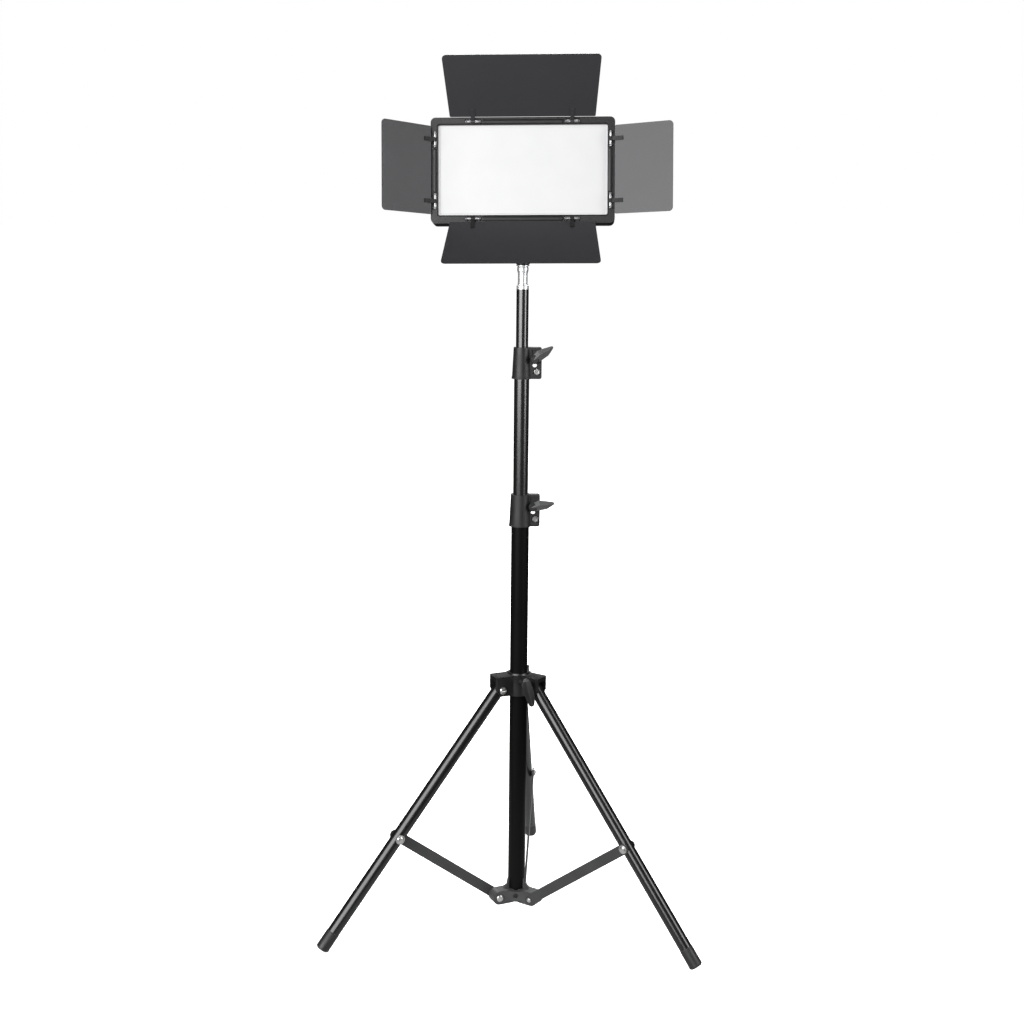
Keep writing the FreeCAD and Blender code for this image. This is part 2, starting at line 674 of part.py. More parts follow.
def hinge_spots():
    """Placement of every hinge in the panel's frame: pin along x, leaf pointing along z when flat."""
    spots = {}
    for name, angle, half, spacing in (("top", 0, "panel_height / 2", "long_hinge_spacing"),
                                       ("right", 90, "panel_width / 2", "short_hinge_spacing"),
                                       ("bottom", 180, "panel_height / 2", "long_hinge_spacing"),
                                       ("left", 270, "panel_width / 2", "short_hinge_spacing")):
        edge = turn(Y, angle) * move(0, "-hinge_rise", half + " - hinge_inset")
        spots[name] = (edge, [move(spacing + " / 2"), move("-%s / 2" % spacing)])
    return spots


HINGES = hinge_spots()


def at_hinges(make):
    """One copy of a hinge piece at each of the eight hinges."""
    return [placed(make(), edge * shift) for edge, shifts in HINGES.values() for shift in shifts]


def hinge_slot():
    return box("hinge_slot_length", "2 * hinge_slot_depth", "hinge_slot_width",
               (0, "hinge_rise", "-hinge_slot_width / 2"))


def hinge_bracket():
    """U bracket let into the frame: a base and two ears that carry the pin."""
    base = box(18.4, 0.8, 5.8, (0, "hinge_rise + 2.6", -2.9))
    ears = [box(1, 5.8, 5, (x, 0.9, -2.5)) for x in (-7.7, 7.7)]
    pin_hole = cylinder("hinge_pin_d", 20, (-10, 0, 0), "X")
    return cut(fuse(base, *ears), pin_hole)


def hinge_pin():
    return cylinder("hinge_pin_d", "hinge_pin_length", ("-hinge_pin_length / 2", 0, 0), "X")


def front_bezel():
    """Moulded frame: front flange round the window, side walls, corner posts and hinge slots."""
    shell = slab("panel_width", "panel_height", "bezel_depth", 0, radius="corner_radius")
    hollow = slab("panel_width - 2 * case_wall", "panel_height - 2 * case_wall", "bezel_depth",
                  "bezel_front", radius="corner_radius - case_wall")
    window = slab("window_width", "window_height", 10, -3, (0, 0.5), radius=2)
    chamfer_lip = slab("window_width + 3", "window_height + 3", 2, -1, (0, 0.5), radius=3)
    posts = [rod(8.6, 6.4, "bezel_depth - 6.4", at) for at in SCREWS]
    screw_holes = [rod(2.9, 7.5, 10, at) for at in SCREWS]
    frame = fuse(cut(shell, hollow, window, chamfer_lip), *posts)
    return cut(frame, *screw_holes, *at_hinges(hinge_slot))


def rear_cover():
    """Back half of the case, with openings for the controls, the inlet and the warm air."""
    front = "(bezel_depth + 0.2)"
    shell = slab("panel_width", "panel_height", "cover_depth", front, radius="corner_radius")
    back_edges = along(X, 100, lambda middle: middle.y > 30)
    side_edges = along(Z, 60, lambda middle: middle.y > 30)
    shell = rounded(shell, 2.5, lambda edge: back_edges(edge) or side_edges(edge))
    hollow = slab("panel_width - 2 * case_wall", "panel_height - 2 * case_wall", "cover_depth",
                  front + " - case_wall", radius="corner_radius - case_wall")
    posts = [rod(8.6, front, "cover_depth - 1", at) for at in SCREWS]
    board_feet = [rod(7, 17.7, 15, (x, z)) for x in (-62, 62) for z in (-46, 46)]
    driver_feet = [rod(5, 24.1, 8.5, (CONTROLS_X + x, z)) for x in (-13, 13) for z in (-44, 38)]
    socket_block = box(16, 14, 15.5, (0, "socket_depth + 1.4", "-panel_height / 2"))
    vents = [slab(34, 2, 8, 29, (x, z)) for x in (-40, 40) for z in (47, 51, 55)]
    side_vents = [slab(16, 2, 8, 29, (88, z)) for z in range(4, 40, 5)]
    screw_holes = [rod(3.1, 10, 30, at) for at in SCREWS]
    screw_seats = [rod(6, CASE_DEPTH + " - 2", 5, at) for at in SCREWS]
    knob_holes = [rod(7, 28, 10, (CONTROLS_X, z)) for z in KNOBS.values()]
    rocker_frame = slab(21, 26, 3.5, "%s - 1.5" % CASE_DEPTH, (CONTROLS_X, SWITCH_Z), radius=2)
    rocker_hole = slab(12.6, 18.4, 20, 25, (CONTROLS_X, SWITCH_Z))
    jack_hole = rod(11, 20, 20, JACK)
    socket_hole = cylinder(10, "13.5 + 10", (0, "socket_depth", "-panel_height / 2 - 10"))
    wire_hole = rod(8, 28, 10, (0, 6))
    body = fuse(cut(shell, hollow), *posts, *board_feet, *driver_feet, socket_block, rocker_frame)
    return cut(body, *vents, *side_vents, *screw_holes, *screw_seats, *knob_holes, rocker_hole,
               jack_hole, socket_hole, wire_hole)


def led_board():
    board = slab(204, 110, 1.6, 16)
    corner_cuts = [rod(12, 14, 6, (x, z)) for x in (-104, 104) for z in (-57, 57)]
    socket_notch = slab(20, 20, 6, 14, (0, -57.3))
    return cut(board, socket_notch, *corner_cuts)


def led_rows():
    """Warm and cool chips in turn, each row on its own strip."""
    rows = []
    for row in range(8):
        z = 12.6 * (row - 3.5)
        strip = slab(190, 5, 0.3, 15.7, (0, z))
        chips = [slab(3.5, 2.8, 0.9, 14.9, (13.4 * (chip - 6.5), z)) for chip in range(14)]
        rows.append(fuse(strip, *chips))
    return group(*rows)


def driver_board():
    """Circuit board behind the controls: two potentiometers, the switch's body, coils and capacitors."""
    board = slab(34, 96, 1.6, 22.4, (CONTROLS_X, -3))
    pots = [cut(slab(11, 11, 6.5, 24, (CONTROLS_X, z)), rod(6.1, 26, 6, (CONTROLS_X, z)))
            for z in KNOBS.values()]
    switch = slab(12, 17, 5, 24, (CONTROLS_X, SWITCH_Z))
    coil = rod(9, 24, 5, (CONTROLS_X - 10, -13))
    capacitors = [rod(6.3, 24, 7, (CONTROLS_X + 11, z)) for z in (-10, 12)]
    return fuse(board, *pots, switch, coil, *capacitors)


def control_knob(z):
    """Knob with its shaft, ribbed round the rim: w points out of the back."""
    knob = lathe("knob", [(0, 0), (3, 0), (3, 7.7), (4, 7.7), (4, 8.2), (7.8, 8.2), (7.8, 15.5), (7, 17),
                          (5.4, 17), (5, 16.4), (0, 16.4)])
    ribbed = fluted(knob, 18, 8.3, 1.6, 9, 7.9)
    notch = box(1.2, 4, 2, (0, 5.4, 16.2))
    return placed(cut(ribbed, notch), move(CONTROLS_X, 26.8, z) * AXIS_TURN["Y"])


def power_switch():
    """Rocker about the x axis through its own middle, with its two faces in a shallow V."""
    outline = [(-8.4, 2.8), (0, 1.2), (8.4, 2.8), (8.0, -1.5), (3, -3.6), (-3, -3.6), (-8.0, -1.5)]
    rocker = fuse(plate("rocker", outline, 11.6, "YZ_Plane"), cylinder(1.6, 12.3, (-6.15, 0, 0), "X"))
    return placed(rocker, move(CONTROLS_X, CASE_DEPTH, SWITCH_Z) * turn(X, -90) * turn(X, -8))


def battery_plates():
    """Two battery slots: a plate with two side rails that a battery's feet slide behind."""
    plates = []
    for x in (-32, 34):
        back = CASE_DEPTH + " + 0.1"
        base = slab(42, 66, 2.4, back, (x, 3), radius=3)
        hooks = []
        for side in (-1, 1):
            wall = slab(2, 60, 3.4, "%s + 2.4" % back, (x + 20 * side, 3))
            lip = slab(3.4, 60, 1.4, "%s + 4.4" % back, (x + 19.3 * side, 3))
            hooks += [wall, lip]
        stop = slab(24, 2, 3, "%s + 2.4" % back, (x, 34))
        contacts = [slab(2, 9, 0.9, "%s + 2.4" % back, (x + dx, 22)) for dx in (-9, -3, 3, 9)]
        plates.append(fuse(base, *hooks, stop, *contacts))
    return group(*plates)


def dc_jack():
    """Barrel inlet: sleeve with a flange, open to the back, and its centre pin."""
    sleeve = fuse(rod(11, 23, "%s - 23" % CASE_DEPTH, JACK), rod(13.5, CASE_DEPTH, 1.4, JACK))
    bore = rod(6.4, 25, 20, JACK)
    return fuse(cut(sleeve, bore), rod(2, 24.5, 9, JACK))


def tripod_socket():
    """Quarter-inch threaded insert in the bottom wall, open downward."""
    insert = cylinder(10, 13.5, (0, "socket_depth", "-panel_height / 2"))
    bore = cylinder("stud_d + 2 * pin_gap", 12.6, (0, "socket_depth", "-panel_height / 2 - 1"))
    return cut(insert, bore)


def case_screws():
    screws = []
    for at in SCREWS:
        shank = rod(2.9, 8, "%s - 2 - 8" % CASE_DEPTH, at)
        screw_head = rod(5.8, CASE_DEPTH + " - 2", 1.5, at)
        slot = slab(4, 0.9, 2, CASE_DEPTH + " - 1.2", at)
        screws.append(cut(fuse(shank, screw_head), slot))
    return group(*screws)


node("front_bezel", front_bezel(), PANEL)
node("diffuser", slab(214, 117, 2, "bezel_front"), PANEL)
node("led_board", led_board(), PANEL)
node("leds", led_rows(), PANEL)
node("rear_cover", rear_cover(), PANEL)
node("driver_board", driver_board(), PANEL)
node("battery_plates", battery_plates(), PANEL)
node("dc_jack", dc_jack(), PANEL)
node("tripod_socket", tripod_socket(), PANEL)
node("case_screws", case_screws(), PANEL)
node("hinge_brackets", group(*at_hinges(hinge_bracket)), PANEL)
node("hinge_pins", group(*at_hinges(hinge_pin)), PANEL)
node("power_switch", power_switch(), PANEL)
for name, z in KNOBS.items():
    node(name, control_knob(z), PANEL)


# ---- barn-door leaves: x along the pins, z from the pins to the outer edge, y on the outer side

RIVET_REACH = (9.3, 13.6)


def leaf_sheet(kind, spacing):
    """Painted sheet that widens outward, with clipped inner and rounded outer corners."""
    inner, outer = "%s_leaf_inner / 2" % kind, "%s_leaf_outer / 2" % kind
    start, end = "leaf_start", "%s_leaf" % kind
    outline = [("-(%s - 1)" % inner, start), (inner + " - 1", start), (inner, start + " + 1"),
               (outer, end), ("-(%s)" % outer, end), ("-(%s)" % inner, start + " + 1")]
    sheet_body = plate("leaf", outline, "leaf_thickness")
    placed(sheet_body, move(0, "leaf_thickness"))
    end_z = value(end)
    sheet_body = rounded(sheet_body, 5, along(Y, where=lambda middle: middle.z > end_z - 0.1))
    holes = [cylinder(2.4, 4, (value(spacing) * half, -1, reach), "Y")
             for half in (-0.5, 0.5) for reach in RIVET_REACH]
    return cut(sheet_body, *holes)


def hinge_arm():
    """Knuckle on the pin with its strap, and the two rivets that hold the sheet."""
    knuckle = cylinder(4.8, 5, (-2.5, 0, 0), "X")
    strap = box(5, 1, 16, (0, 0, 0))
    bore = cylinder("hinge_pin_d + 2 * pin_gap", 7, (-3.5, 0, 0), "X")
    rivets = [fuse(cylinder(2.4, 2.6, (0, -0.8, reach), "Y"), cylinder(4, 0.6, (0, 1.5, reach), "Y"),
                   cylinder(3.6, 0.3, (0, -0.8, reach), "Y")) for reach in RIVET_REACH]
    return fuse(cut(fuse(knuckle, strap), bore), *rivets)


LEAVES = (("top", "long"), ("right", "short"), ("bottom", "long"), ("left", "short"))
for side, kind in LEAVES:
    spacing = kind + "_hinge_spacing"
    edge, shifts = HINGES[side]
    leaf_place = PANEL * edge * turn(X, side + "_leaf_angle")
    node(side + "_leaf", leaf_sheet(kind, spacing), leaf_place)
    node(side + "_leaf_arms", group(*[placed(hinge_arm(), shift) for shift in shifts]), leaf_place)


# ---- check every object, then write the nodes

doc.recompute()
broken = [item.Name for item in doc.Objects if {"Invalid", "Error"} & set(item.State)]
for name, item in NODES.items():
    if item.Shape.isNull() or not item.Shape.isValid():
        broken.append(name)
if broken:
    raise RuntimeError("failed objects: " + ", ".join(broken))

os.makedirs("parts", exist_ok=True)
for name, item in NODES.items():
    item.Shape.exportStep("parts/%s.step" % name)
    print(name, len(item.Shape.Solids), "solids", round(item.Shape.Volume), "mm3")
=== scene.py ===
import json
import math

import bmesh
import bpy
from mathutils import Matrix, Vector


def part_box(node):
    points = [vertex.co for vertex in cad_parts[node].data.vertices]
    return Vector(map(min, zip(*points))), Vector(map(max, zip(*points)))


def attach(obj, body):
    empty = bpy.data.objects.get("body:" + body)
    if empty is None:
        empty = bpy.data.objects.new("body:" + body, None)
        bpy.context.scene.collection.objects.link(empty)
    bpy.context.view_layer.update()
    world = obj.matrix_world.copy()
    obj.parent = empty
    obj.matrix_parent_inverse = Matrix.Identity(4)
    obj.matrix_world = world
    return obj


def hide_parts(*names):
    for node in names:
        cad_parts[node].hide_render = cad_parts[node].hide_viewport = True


# Looks of the LED panel light on its stand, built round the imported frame.
# Blender works in metres, +Z up, and the lamp faces -Y. Sizes in this file are in millimetres,
# apart from those of the floor, the lights and the camera, which are in metres. Noise scales are
# per metre, and angles are in degrees.

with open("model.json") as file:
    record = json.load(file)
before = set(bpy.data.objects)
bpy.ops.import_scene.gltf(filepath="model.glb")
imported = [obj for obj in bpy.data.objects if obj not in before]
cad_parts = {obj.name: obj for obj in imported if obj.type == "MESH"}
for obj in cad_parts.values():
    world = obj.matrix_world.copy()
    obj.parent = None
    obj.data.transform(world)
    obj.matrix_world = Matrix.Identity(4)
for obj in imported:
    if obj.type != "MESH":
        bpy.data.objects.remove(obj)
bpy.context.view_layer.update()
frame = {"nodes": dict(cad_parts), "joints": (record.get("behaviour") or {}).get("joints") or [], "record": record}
MM = 0.001
JOINTS = {joint["name"]: joint for joint in frame["joints"]}
SLOTS = {part["node"]: part["material_slot"] for part in frame["record"]["subparts"]}
BODY_OF = {node: body
           for body, nodes in frame["record"]["behaviour"]["bodies"].items()
           for node in nodes}


# ---- frames read from the joints

HINGE_RISE = 1.2  # how far the leaves' pins stand in front of the panel's face


def frame_at(origin, x_axis, z_axis):
    """Matrix whose columns are x, y and z at the origin, made square."""
    z_axis = Vector(z_axis).normalized()
    y_axis = z_axis.cross(Vector(x_axis)).normalized()
    x_axis = y_axis.cross(z_axis)
    axes = Matrix((x_axis, y_axis, z_axis)).transposed().to_4x4()
    return Matrix.Translation(origin) @ axes


def panel_frame():
    """Panel's own frame: x right, y back from the front face, z up, origin at the face's middle."""
    top, bottom = JOINTS["top_leaf_hinge"], JOINTS["bottom_leaf_hinge"]
    centre = (Vector(top["pos_m"]) + Vector(bottom["pos_m"])) / 2
    place = frame_at(centre, -Vector(top["axis"]), JOINTS["panel_swivel"]["axis"])
    return place @ Matrix.Translation((0, HINGE_RISE * MM, 0))


def column_foot():
    """Point of the floor on the column's axis."""
    low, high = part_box("lower_tube")
    centre = (low + high) / 2
    return Vector((centre.x, centre.y, 0))


PANEL = panel_frame()


# ---- materials

# Sockets of a Mix node that mixes colours
COLOUR_A, COLOUR_B, COLOUR_RESULT = 6, 7, 2


class Shader:
    """Principled material with a few short ways to add procedural detail."""

    def __init__(self, name, **sockets):
        self.material = bpy.data.materials.new(name)
        self.material.use_nodes = True
        self.tree = self.material.node_tree
        self.principled = self.tree.nodes["Principled BSDF"]
        self.normal = None
        for socket, number in sockets.items():
            self.principled.inputs[socket.replace("_", " ")].default_value = number
        self.place = self.tree.nodes.new("ShaderNodeTexCoord").outputs["Object"]

    def node(self, kind, **settings):
        made = self.tree.nodes.new("ShaderNode" + kind)
        for key, number in settings.items():
            if key in made.inputs:
                made.inputs[key].default_value = number
            else:
                setattr(made, key, number)
        return made

    def link(self, output, target):
        self.tree.links.new(output, target)

    def scaled_place(self, scale, stretch=(1, 1, 1)):
        """Object space multiplied by a scale per metre, stretched along each axis."""
        mapping = self.node("Mapping")
        mapping.inputs["Scale"].default_value = [scale * factor for factor in stretch]
        self.link(self.place, mapping.inputs["Vector"])
        return mapping.outputs["Vector"]

    def noise(self, scale, detail, stretch=(1, 1, 1)):
        made = self.node("TexNoise", Scale=1.0, Detail=detail, Roughness=0.5)
        self.link(self.scaled_place(scale, stretch), made.inputs["Vector"])
        return made.outputs["Fac"]

    def cells(self, scale):
        made = self.node("TexVoronoi", Scale=1.0)
        self.link(self.scaled_place(scale), made.inputs["Vector"])
        return made.outputs["Distance"]

    def spread(self, value, low, high, start=0.3, end=0.7):
        """Value between start and end mapped onto low to high."""
        made = self.node("MapRange")
        limits = (("From Min", start), ("From Max", end), ("To Min", low), ("To Max", high))
        for key, number in limits:
            made.inputs[key].default_value = number
        self.link(value, made.inputs["Value"])
        return made.outputs["Result"]

    def mix(self, value, first, second):
        """Colour between two colours, which may be sockets."""
        made = self.node("Mix", data_type="RGBA")
        self.link(value, made.inputs["Factor"])
        for index, colour in ((COLOUR_A, first), (COLOUR_B, second)):
            if isinstance(colour, bpy.types.NodeSocket):
                self.link(colour, made.inputs[index])
            else:
                made.inputs[index].default_value = (*colour, 1)
        return made.outputs[COLOUR_RESULT]

    def edges(self):
        """Wear on the rounded edges: a value that the edge faces carry."""
        return self.node("Attribute", attribute_name="wear").outputs["Fac"]

    def colour(self, socket):
        self.link(socket, self.principled.inputs["Base Color"])

    def rough(self, socket):
        self.link(socket, self.principled.inputs["Roughness"])

    def bump(self, value, depth):
        """Relief of a depth in millimetres, on top of the relief made so far."""
        made = self.node("Bump", Strength=1.0, Distance=depth * MM)
        self.link(value, made.inputs["Height"])
        if self.normal is not None:
            self.link(self.normal, made.inputs["Normal"])
        self.normal = made.outputs["Normal"]
        self.link(self.normal, self.principled.inputs["Normal"])


def grey(level, tint=0.0):
    """Grey with its blue raised by the tint."""
    return (level, level, level * (1 + tint))


def enamel(name, low, high, level, gloss):
    """Black tube enamel: faint orange peel and long drawn rub marks in the sheen."""
    made = Shader(name, Specular_IOR_Level=gloss)
    rubs = made.noise(26, 5, stretch=(9, 9, 0.35))
    made.colour(made.mix(rubs, grey(level), grey(level * 1.6, 0.05)))
    made.rough(made.spread(rubs, low, high))
    made.bump(made.noise(160, 2), 0.006)
    return made.material


def moulded(name, level, grain=2300, low=0.36, high=0.55, wear=0.025, gloss=0.4):
    """Moulded plastic or thick paint: fine grain, cloudy sheen and slightly polished edges."""
    made = Shader(name, Specular_IOR_Level=gloss)
    cloud = made.noise(45, 5)
    body = made.mix(cloud, grey(level * 0.8), grey(level * 1.25, 0.04))
    made.colour(made.mix(made.edges(), body, grey(level + wear)))
    made.rough(made.spread(cloud, low, high))
    made.bump(made.noise(grain, 3), 0.05)
    made.bump(made.cells(grain * 0.45), 0.02)
    return made.material


def plated(name, colour, low, high, stretch=(1, 1, 1), metallic=1.0):
    """Plated or turned metal: fine drawn grain and faint clouds in its colour."""
    made = Shader(name, Metallic=metallic)
    drawn = made.noise(1500, 3, stretch)
    made.colour(made.mix(made.noise(160, 4), [channel * 0.86 for channel in colour], colour))
    made.rough(made.spread(drawn, low, high))
    made.bump(drawn, 0.012)
    return made.material


def powder_coat():
    """Fine-textured black powder coat on sheet metal, rubbed slightly grey at the edges."""
    made = Shader("leaf_powder_coat", Specular_IOR_Level=0.56)
    grit = made.noise(3200, 2)
    body = made.mix(made.noise(14, 4), grey(0.016, 0.12), grey(0.021, 0.16))
    made.colour(made.mix(made.edges(), body, grey(0.045)))
    made.rough(made.spread(grit, 0.39, 0.47))
    made.bump(grit, 0.02)
    made.bump(made.noise(30, 2), 0.2)
    return made.material


def frosted():
    """Backlit opal acrylic: a soft, slightly cloudy glow under a fine frosted face."""
    made = Shader("opal_diffuser", Emission_Strength=0.27)
    cloud = made.noise(30, 3)
    frost = made.noise(1800, 2)
    glow = made.mix(cloud, (0.93, 0.94, 0.96), (1.0, 1.0, 1.0))
    made.colour(made.mix(cloud, grey(0.37), grey(0.40)))
    made.link(glow, made.principled.inputs["Emission Color"])
    made.rough(made.spread(frost, 0.30, 0.42))
    made.bump(frost, 0.02)
    return made.material


def board_green():
    """Solder mask with copper tracks shining through."""
    made = Shader("solder_mask", Coat_Weight=0.3)
    tracks = made.spread(made.cells(260), 0, 1, start=0.06, end=0.14)
    made.colour(made.mix(tracks, (0.20, 0.26, 0.06), (0.01, 0.10, 0.035)))
    made.rough(made.spread(made.noise(900, 3), 0.22, 0.38))
    made.bump(tracks, 0.03)
    return made.material


def phosphor():
    """LED chips: yellow phosphor under clear silicone."""
    made = Shader("led_phosphor")
    made.colour(made.mix(made.noise(3000, 2), (0.80, 0.60, 0.12), (0.95, 0.80, 0.30)))
    made.rough(made.spread(made.noise(900, 2), 0.18, 0.34))
    return made.material


def anodised():
    """Black anodised aluminium with turning marks."""
    made = Shader("black_anodised", Metallic=0.85)
    rings = made.noise(900, 3, stretch=(0.2, 0.2, 4))
    made.colour(made.mix(made.noise(120, 3), grey(0.02), grey(0.032, 0.05)))
    made.rough(made.spread(rings, 0.26, 0.42))
    made.bump(rings, 0.01)
    return made.material


MATERIALS = {
    "gloss_black_tube": enamel("gloss_black_enamel", 0.20, 0.25, 0.003, 1.0),
    "black_brace": moulded("satin_black_paint", 0.036, grain=1600, low=0.30, high=0.42),
    "dark_nylon": moulded("dark_nylon", 0.012),
    "lever_nylon": moulded("lever_nylon", 0.062, grain=2600, low=0.34, high=0.46, wear=0.04,
                           gloss=0.5),
    "zinc_steel": plated("zinc_plate", (0.66, 0.66, 0.65), 0.20, 0.36),
    "black_steel": plated("black_oxide", (0.05, 0.05, 0.052), 0.30, 0.45),
    "chrome": plated("satin_chrome", (0.93, 0.94, 0.95), 0.32, 0.40, stretch=(1, 1, 6),
                     metallic=0.75),
    "black_aluminium": anodised(),
    "case_plastic": moulded("case_plastic", 0.010, grain=2800, low=0.30, high=0.44, wear=0.02,
                            gloss=0.32),
    "diffuser_white": frosted(),
    "circuit_board": board_green(),
    "led_chip": phosphor(),
    "plate_plastic": moulded("plate_plastic", 0.05, grain=2000, low=0.34, high=0.46),
    "nickel": plated("nickel_plate", (0.72, 0.69, 0.62), 0.12, 0.25),
    "brass": plated("turned_brass", (0.75, 0.56, 0.24), 0.16, 0.30, stretch=(1, 1, 5)),
    "leaf_paint": powder_coat(),
}

PRINT = moulded("pale_print", 0.55, grain=3000, low=0.40, high=0.50)
CONTROL_NYLON = moulded("control_nylon", 0.014, grain=2600, low=0.30, high=0.44)
ARM_PAINT = moulded("arm_paint", 0.010, grain=2600, low=0.45, high=0.55, wear=0.02, gloss=0.25)
LEG_ENAMEL = enamel("leg_enamel", 0.20, 0.26, 0.003, 0.6)
# Nodes whose finish differs from the rest of their slot
NODE_MATERIALS = {
    # The lower tube's enamel is satin. Its low sheen level is also painted shade, darkening it as the shade low on
    # the column would
    "lower_tube": enamel("satin_and_painted_shade_enamel", 0.28, 0.36, 0.003, 0.09),
    "leg_collar": moulded("collar_nylon", 0.008, low=0.22, high=0.36, wear=0.02, gloss=0.5),
    "lower_hub": moulded("hub_nylon", 0.046),
    "rear_cover": moulded("cover_plastic", 0.026, grain=2800, low=0.34, high=0.48, wear=0.03),
    "hinge_pins": plated("hinge_steel", (0.40, 0.40, 0.41), 0.30, 0.45),
    "hinge_brackets": MATERIALS["black_steel"],
    "leg_tube_rear": LEG_ENAMEL,
    "leg_tube_right": LEG_ENAMEL,
    "leg_tube_left": LEG_ENAMEL,
    "collar_knob": CONTROL_NYLON,
    "head_knob": CONTROL_NYLON,
    "bottom_leaf_arms": ARM_PAINT,
    "left_leaf_arms": ARM_PAINT,
    "right_leaf_arms": ARM_PAINT,
}


# ---- mesh helpers

BEVEL_SEGMENTS = 2
BEVEL_PROFILE = 0.6
LARGE_FACES_FIRST = 100


def add_mesh(name, shape):
    """New object from a bmesh, which is freed."""
    bmesh.ops.recalc_face_normals(shape, faces=shape.faces)
    mesh = bpy.data.meshes.new(name)
    shape.to_mesh(mesh)
    shape.free()
    piece = bpy.data.objects.new(name, mesh)
    bpy.context.scene.collection.objects.link(piece)
    return piece


def finish_mesh(piece, node, sharp, material=None, slot=None):
    """Shade the piece smooth, but sharp at edges past an angle and flat on its flats. Then give it
    the node's body and, unless a material is given, the node's own finish or else that of the
    slot, which is the node's unless another is given."""
    mesh = piece.data
    mesh.shade_smooth()
    mesh.set_sharp_from_angle(angle=math.radians(sharp))
    flats = piece.modifiers.new("flats", "WEIGHTED_NORMAL")
    flats.weight = LARGE_FACES_FIRST
    flats.keep_sharp = True
    slot = slot or SLOTS[node]
    mesh.materials.clear()
    mesh.materials.append(material or NODE_MATERIALS.get(node) or MATERIALS[slot])
    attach(piece, BODY_OF[node])
    return piece


def round_edges(shape, width, sharp):
    """Round every edge past the sharp angle, and let the new faces carry wear 1."""
    limit = math.radians(sharp)
    hard = [edge for edge in shape.edges
            if edge.is_manifold and edge.calc_face_angle(0) > limit]
    wear = shape.loops.layers.float_color.new("wear")
    made = bmesh.ops.bevel(shape, geom=hard, offset=width * MM, offset_type="OFFSET",
                           segments=BEVEL_SEGMENTS, profile=BEVEL_PROFILE, affect="EDGES",
                           clamp_overlap=True)
    for faces, level in ((shape.faces, 0), (made["faces"], 1)):
        for face in faces:
            for corner in face.loops:
                corner[wear] = (level, level, level, 1)


def loft(rings, closed=False):
    """Bmesh through rings of points, all of one count. Its two ends are capped, or joined to each
    other if it is closed."""
    shape = bmesh.new()
    loops = [[shape.verts.new(point) for point in ring] for ring in rings]
    following = loops[1:] + loops[:1] if closed else loops[1:]
    for first, second in zip(loops, following):
        for i in range(len(first)):
            j = (i + 1) % len(first)
            shape.faces.new((first[i], first[j], second[j], second[i]))
    if not closed:
        shape.faces.new(loops[0])
        shape.faces.new(loops[-1])
    return shape


def turned(outline, segments=48):
    """Bmesh of revolution about z from (radius, height) points, with flat ends."""
    angles = [2 * math.pi * i / segments for i in range(segments)]
    return loft([[(radius * MM * math.cos(a), radius * MM * math.sin(a), height * MM)
                  for a in angles] for radius, height in outline])


def merge(*shapes):
    """One bmesh that holds several, which are freed."""
    whole = bmesh.new()
    for shape in shapes:
        mesh = bpy.data.meshes.new("part")
        shape.to_mesh(mesh)
        shape.free()
        whole.from_mesh(mesh)
        bpy.data.meshes.remove(mesh)
    return whole


def put(shape, place):
    """The bmesh itself, moved by a matrix."""
    bmesh.ops.transform(shape, matrix=place, verts=shape.verts)
    return shape


def shift(x, y, z):
    return Matrix.Translation((x * MM, y * MM, z * MM))


def turn(degrees, axis):
    return Matrix.Rotation(math.radians(degrees), 4, axis)


# ---- CAD nodes with their edges rounded as moulding and tumbling leave them

HARD_ANGLE = 35
WELD_DISTANCE = 0.002
FLAT_ANGLE = 0.4
FINE_EDGE = 0.15
EDGE_WIDTHS = {
    "lower_hub": 0.8, "leg_collar": 0.7, "lower_lock": 0.6, "upper_lock": 0.6,
    "front_bezel": 0.5, "rear_cover": 0.5,
    "top_leaf": 0.3, "bottom_leaf": 0.3, "left_leaf": 0.3, "right_leaf": 0.3,
}
RESHAPED = ("lower_lock_lever", "upper_lock_lever", "collar_knob", "diffuser")


def soften(node, width):
    """Stand-in for a CAD node: the same shape with its hard edges rounded."""
    shape = bmesh.new()
    shape.from_mesh(frame["nodes"][node].data)
    bmesh.ops.remove_doubles(shape, verts=shape.verts, dist=WELD_DISTANCE * MM)
    bmesh.ops.dissolve_limit(shape, angle_limit=math.radians(FLAT_ANGLE), verts=shape.verts,
                             edges=shape.edges, delimit={"NORMAL"})
    round_edges(shape, width, HARD_ANGLE)
    piece = finish_mesh(add_mesh(node + "_finished", shape), node, HARD_ANGLE)
    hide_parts(node)


# ---- levers and the collar's knob: faceted wings

WING_SHARP = 25
WING_FACET_ANGLE = 12
WING_ROUNDING = 0.45

# Stations of a wing along its x: x, low z, high z, ridge z, front y, back y
LEVER_STATIONS = [
    (-2.8, -3.2, 2.6, 0.2, -13.4, -10.8),
    (-0.6, -5.0, 4.4, 0.4, -14.6, -10.0),
    (3.5, -5.8, 6.0, 0.8, -15.1, -9.6),
    (8.5, -5.6, 7.2, 1.6, -15.3, -9.6),
    (16.5, -5.5, 5.3, 0.8, -15.0, -10.2),
    (21.5, -3.6, 3.7, 0.5, -14.4, -11.0),
    (26.2, -1.5, 2.2, 0.4, -13.6, -11.8),
    (27.4, -0.4, 1.1, 0.4, -13.1, -12.4),
]
KNOB_STATIONS = [
    (-12.9, -2.0, 2.0, 0.0, -38.9, -36.7),
    (-9.5, -4.4, 4.4, 0.2, -39.7, -36.4),
    (-2.0, -6.3, 6.2, 0.5, -40.1, -36.3),
    (7.0, -6.6, 6.8, 0.5, -40.1, -36.5),
    (14.5, -6.3, 5.5, -0.2, -39.8, -36.6),
    (23.0, -4.2, 4.6, 0.0, -39.6, -36.7),
    (26.2, -2.2, 2.5, 0.0, -39.1, -37.1),
]
# How far each wing is turned from the way it is drawn to the pose shown
LEVER_REST = {"lower": -11, "upper": -35}
KNOB_REST = 15
# From the knob's joint in to the collar's axis
KNOB_SEAT = 30

